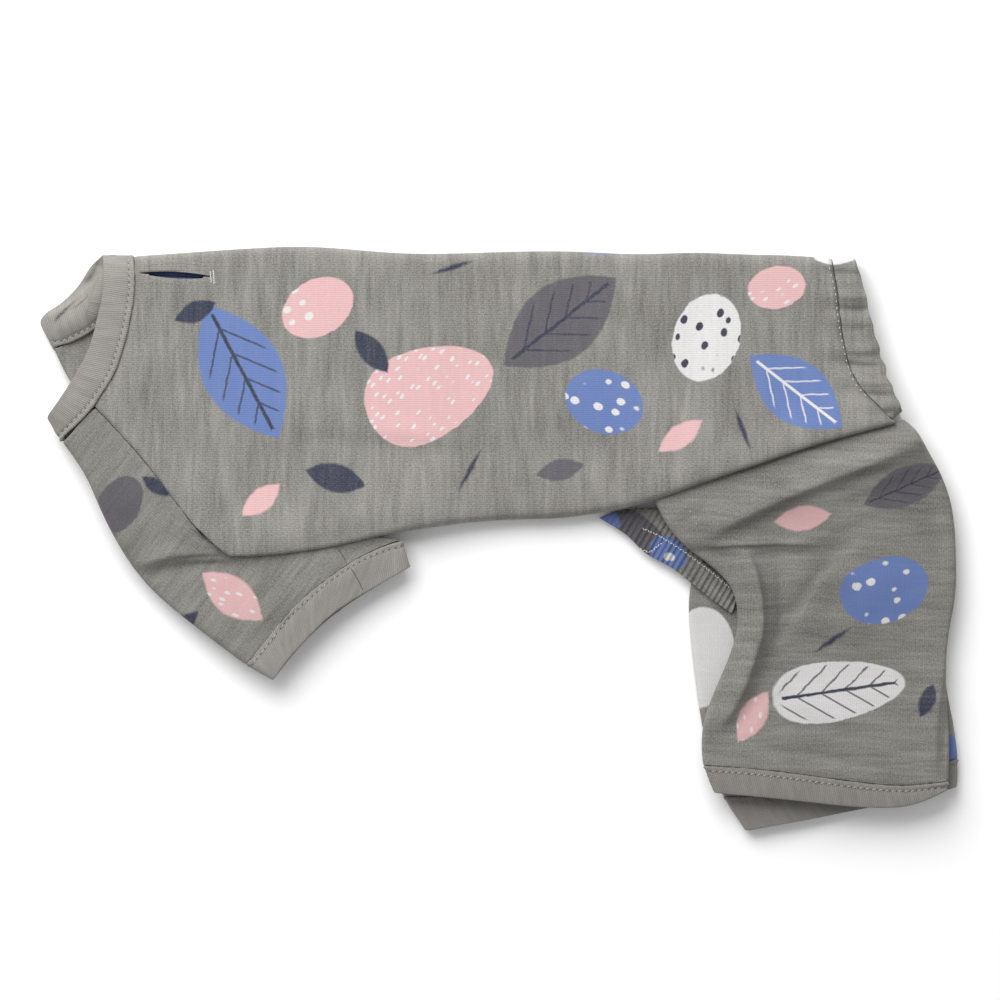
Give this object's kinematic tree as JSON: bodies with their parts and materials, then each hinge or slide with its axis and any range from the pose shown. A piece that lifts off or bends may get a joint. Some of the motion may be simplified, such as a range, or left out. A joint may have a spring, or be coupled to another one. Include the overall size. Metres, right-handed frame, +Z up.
{
  "type": "dog jumpsuit",
  "caption": "Four-legged stretch jumpsuit for a small dog, laid on its side, with rib neck band and cuffs, a leash slot in the back, printed grey jersey and an elastic tail opening.",
  "frame": {"origin": "middle of the suit's outline on the table it lies on, at the table's level", "axes": "+X from the neck to the tail, +Y from the leg cuffs to the back fold, +Z up from the table"},
  "size_m": [0.4142, 0.2634, 0.0196],
  "materials": {
    "jersey_body": "matt",
    "jersey_sleeve_near": "matt",
    "jersey_sleeve_far": "matt",
    "jersey_leg_near": "matt",
    "jersey_leg_far": "matt",
    "jersey_casing": "matt",
    "jersey_belly": "matt",
    "rib_neck": "matt",
    "rib_sleeve_near": "matt",
    "rib_sleeve_far": "matt",
    "rib_leg_near": "matt",
    "rib_leg_far": "matt"
  },
  "bodies": {
    "root": {"body": "jersey_body", "sleeve_near": "jersey_sleeve_near", "sleeve_far": "jersey_sleeve_far", "leg_near": "jersey_leg_near", "leg_far": "jersey_leg_far", "tail_casing": "jersey_casing", "belly_casing": "jersey_belly", "neck_band": "rib_neck", "cuff_sleeve_near": "rib_sleeve_near", "cuff_sleeve_far": "rib_sleeve_far", "cuff_leg_near": "rib_leg_near", "cuff_leg_far": "rib_leg_far"}
  },
  "joints": []
}
